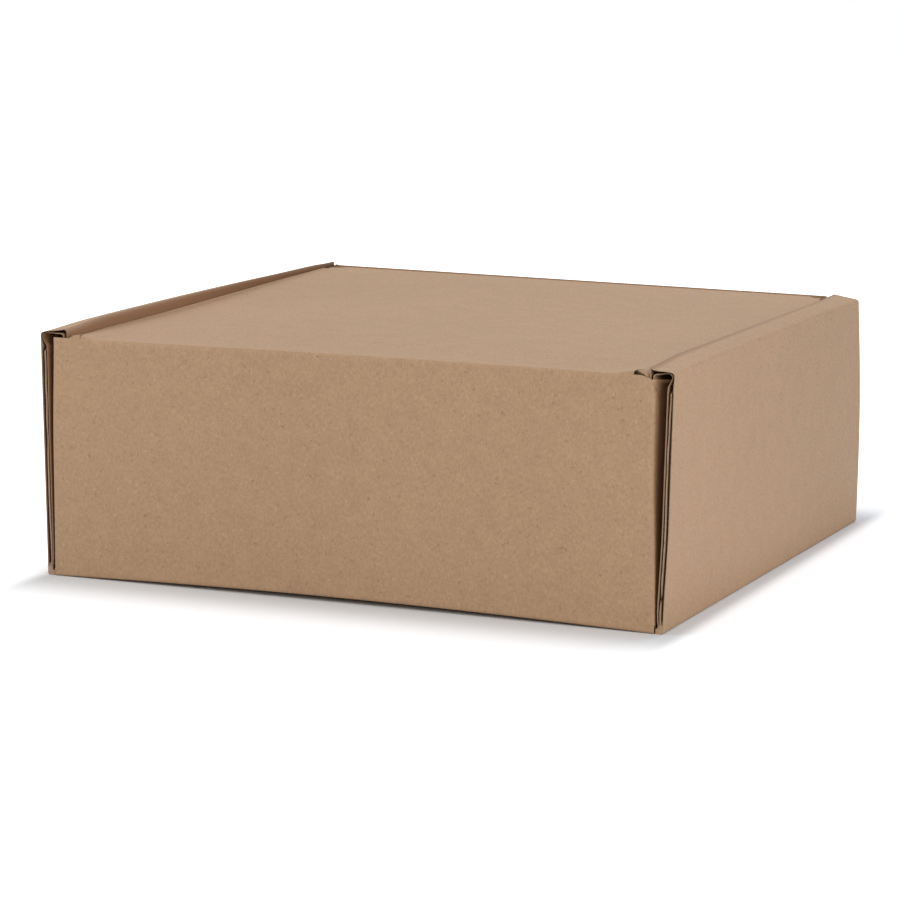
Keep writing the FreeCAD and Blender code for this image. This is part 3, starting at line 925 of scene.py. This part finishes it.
# %% The nodes that wave the medium
def flute_tree():
    tree = bpy.data.node_groups.new("fluted_medium", "GeometryNodeTree")
    tree.interface.new_socket("Edges", in_out="INPUT", socket_type="NodeSocketGeometry")
    sizes = {}
    for label, value in (("Pitch", FLUTE_PITCH), ("Steps in a pitch", 10.0), ("Paper", MEDIUM_PAPER)):
        socket = tree.interface.new_socket(label, in_out="INPUT", socket_type="NodeSocketFloat")
        sizes[socket.identifier] = value
    tree.interface.new_socket("Medium", in_out="OUTPUT", socket_type="NodeSocketGeometry")
    graph = Graph(tree)
    edges = graph.add("NodeGroupInput")
    pitch, steps, paper = (Value(graph, edges.socket.node.outputs[i]) for i in (1, 2, 3))
    line = graph.add("GeometryNodeMeshToCurve", None, {"Mesh": edges})
    stepped = graph.add(
        "GeometryNodeResampleCurve", {"mode": "LENGTH"}, {"Curve": line, "Length": pitch / steps}
    )
    way = graph.add("GeometryNodeSplineParameter", out="Length")
    wave = (way * (2 * math.pi) / pitch).sine()
    across = graph.add("GeometryNodeInputNamedAttribute", {"data_type": "FLOAT_VECTOR"}, {"Name": "across"})
    inward = graph.add("GeometryNodeInputNamedAttribute", {"data_type": "FLOAT_VECTOR"}, {"Name": "inward"})
    push = graph.add("ShaderNodeVectorMath", {"operation": "SCALE"}, {0: across, "Scale": wave})
    waved = graph.add("GeometryNodeSetPosition", None, {"Geometry": stepped, "Offset": push})
    outline = graph.add("GeometryNodeCurveToMesh", None, {"Curve": waved})
    drawn = graph.add(
        "GeometryNodeExtrudeMesh", {"mode": "EDGES"}, {"Mesh": outline, "Offset": inward, "Offset Scale": 1.0}
    )
    thick = graph.add(
        "GeometryNodeExtrudeMesh", {"mode": "FACES"},
        {"Mesh": drawn, "Offset Scale": paper, "Individual": False},
    )
    back = graph.add("GeometryNodeFlipFaces", None, {"Mesh": drawn})
    both_sides = graph.add("GeometryNodeJoinGeometry")
    for part in (thick, back):
        tree.links.new(part.socket, both_sides.socket.node.inputs[0])
    closed = graph.add("GeometryNodeMergeByDistance", None, {"Geometry": both_sides, "Distance": MM / 100})
    real = graph.add("GeometryNodeRealizeInstances", None, {"Geometry": closed})
    finished = graph.add("GeometryNodeSetMaterial", None, {"Geometry": real, "Material": cut_paper})
    graph.add("NodeGroupOutput", None, {"Medium": finished})
    return tree, sizes


medium_tree, medium_sizes = flute_tree()


def fluted(blank, name):
    lines = flute_lines(blank, name + "_lines")
    modifier = lines.modifiers.new("medium", "NODES")
    modifier.node_group = medium_tree
    for identifier, value in medium_sizes.items():
        modifier[identifier] = value
    made = lines.evaluated_get(bpy.context.evaluated_depsgraph_get())
    mesh = bpy.data.meshes.new_from_object(made)
    mesh.name = name
    obj = bpy.data.objects.new(name, mesh)
    bpy.context.scene.collection.objects.link(obj)
    bpy.data.objects.remove(lines)
    shell = bmesh.new()
    shell.from_mesh(mesh)
    bmesh.ops.recalc_face_normals(shell, faces=shell.faces)
    open_edges = sum(not edge.is_manifold for edge in shell.edges)
    shell.to_mesh(mesh)
    shell.free()
    print(name, len(mesh.polygons), "faces,", open_edges, "open edges")
    return obj


tray_flutes = fluted(tray_blank, "tray_flutes")
lid_flutes = fluted(lid_blank, "lid_flutes")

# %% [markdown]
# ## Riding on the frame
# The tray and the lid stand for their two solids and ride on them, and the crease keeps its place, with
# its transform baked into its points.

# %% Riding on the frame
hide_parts("tray")
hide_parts("lid")
for piece, body in ((tray_board, "tray"), (tray_flutes, "tray"), (lid_board, "lid"), (lid_flutes, "lid")):
    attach(piece, body)
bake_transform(crease_board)

# %% [markdown]
# ## The studio
# The box stands on a white sweep under soft light from all round, with a cool lamp above and behind and
# two slightly warm ones, on the right and on the left. The floor takes the box's shadow, and what the
# camera sees of the floor and the sky beyond it is lifted to white by painted light. The lift is least at
# the box's footprint and grows further out, soonest to the sides, so the dark band round the box is
# partly its real shadow and partly painted shadow, narrow at the sides. That puts no more light on the box.

# %% The studio
WORLD_LIGHT = 0.44
# The floor's lift rises from nothing at the footprint's edge, first to a small level and then to full white,
# and faster to the sides, so it paints a shadow round the box.
CONTACT_REACH, CONTACT_LIFT = 48 * MM, 0.46
WHITE_NEAR, WHITE_FAR, WHITE_LIFT = 45 * MM, 130 * MM, 0.7
FLOOR_PAPER = (0.79, 0.825, 0.875, 1.0)
FLOOR_HALF = 3.0
SIDE_SQUEEZE, SHADE_SHIFT = 4.6, 3 * MM

floor_material = bpy.data.materials.new("white_sweep")
floor_material.use_nodes = True
floor_graph = Graph(floor_material.node_tree)
floor_material.node_tree.nodes.clear()
seen = floor_graph.add("ShaderNodeLightPath", out="Is Camera Ray")
mirrored = floor_graph.add("ShaderNodeLightPath", out="Is Glossy Ray")
paper = floor_graph.add("ShaderNodeBsdfDiffuse", None, {"Color": FLOOR_PAPER})
floor_place = floor_graph.add("ShaderNodeTexCoord", out="Object")
shifted = floor_graph.add(
    "ShaderNodeVectorMath", {"operation": "SUBTRACT"}, {0: floor_place, 1: (SHADE_SHIFT, 0.0, 0.0)}
)
edge_way = floor_graph.add("ShaderNodeVectorMath", {"operation": "ABSOLUTE"}, {0: shifted})
beyond = floor_graph.add(
    "ShaderNodeVectorMath", {"operation": "SUBTRACT"}, {0: edge_way, 1: (HALF_WIDTH, HALF_DEPTH, 0.0)}
)
outside = floor_graph.add("ShaderNodeVectorMath", {"operation": "MAXIMUM"}, {0: beyond, 1: (0, 0, 0)})
squeezed = floor_graph.add(
    "ShaderNodeVectorMath", {"operation": "MULTIPLY"}, {0: outside, 1: (SIDE_SQUEEZE, 1, 1)}
)
away = floor_graph.add("ShaderNodeVectorMath", {"operation": "LENGTH"}, {0: squeezed}, out="Value")


def rising(value, near, far, top):
    return floor_graph.add(
        "ShaderNodeMapRange", {"interpolation_type": "SMOOTHSTEP"},
        {"Value": value, "From Min": near, "From Max": far, "To Max": top},
    )


# Painted shadow: the lift is held down near the footprint, darkest at its edge.
level = rising(away, 0.0, CONTACT_REACH, CONTACT_LIFT) + rising(away, WHITE_NEAR, WHITE_FAR, WHITE_LIFT)
lift = floor_graph.add("ShaderNodeEmission", None, {"Strength": level * (seen + mirrored)})
both = floor_graph.add("ShaderNodeAddShader", None, {0: paper, 1: lift})
floor_graph.add("ShaderNodeOutputMaterial", None, {"Surface": both})

floor_mesh = bpy.data.meshes.new("sweep")
corners = [(x * FLOOR_HALF, y * FLOOR_HALF, 0.0) for x, y in ((-1, -1), (1, -1), (1, 1), (-1, 1))]
floor_mesh.from_pydata(corners, [], [(0, 1, 2, 3)])
floor_mesh.materials.append(floor_material)
sweep = bpy.data.objects.new("sweep", floor_mesh)
bpy.context.scene.collection.objects.link(sweep)

world = bpy.data.worlds.new("studio")
world.use_nodes = True
world_graph = Graph(world.node_tree)
world.node_tree.nodes.clear()
straight = world_graph.add("ShaderNodeLightPath", out="Is Camera Ray")
glossy = world_graph.add("ShaderNodeLightPath", out="Is Glossy Ray")
strength = WORLD_LIGHT + (1 - WORLD_LIGHT) * (straight + glossy)
sky = world_graph.add("ShaderNodeBackground", None, {"Color": (1, 1, 1, 1), "Strength": strength})
world_graph.add("ShaderNodeOutputWorld", None, {"Surface": sky})
bpy.context.scene.world = world


def soft_box(name, place, aim, size, power, colour):
    lamp = bpy.data.lights.new(name, "AREA")
    lamp.shape = "SQUARE"
    lamp.size = size
    lamp.energy = power
    lamp.color = colour
    obj = bpy.data.objects.new(name, lamp)
    obj.location = place
    obj.rotation_euler = (Vector(place) - Vector(aim)).to_track_quat("Z", "Y").to_euler()
    bpy.context.scene.collection.objects.link(obj)
    return obj


WARM, COOL = (1.0, 0.95, 0.88), (0.97, 0.98, 1.0)
soft_box("overhead", (0.2, 0.5, 1.1), (0, 0, 0.1), 0.6, 3.1, COOL)
soft_box("key", (0.96, -0.71, 0.42), (0, 0, 0.05), 0.5, 4.5, WARM)
soft_box("fill", (-0.75, -0.55, 0.6), (0, 0, 0.05), 0.5, 3.2, WARM)
bpy.context.scene.view_settings.view_transform = "Standard"
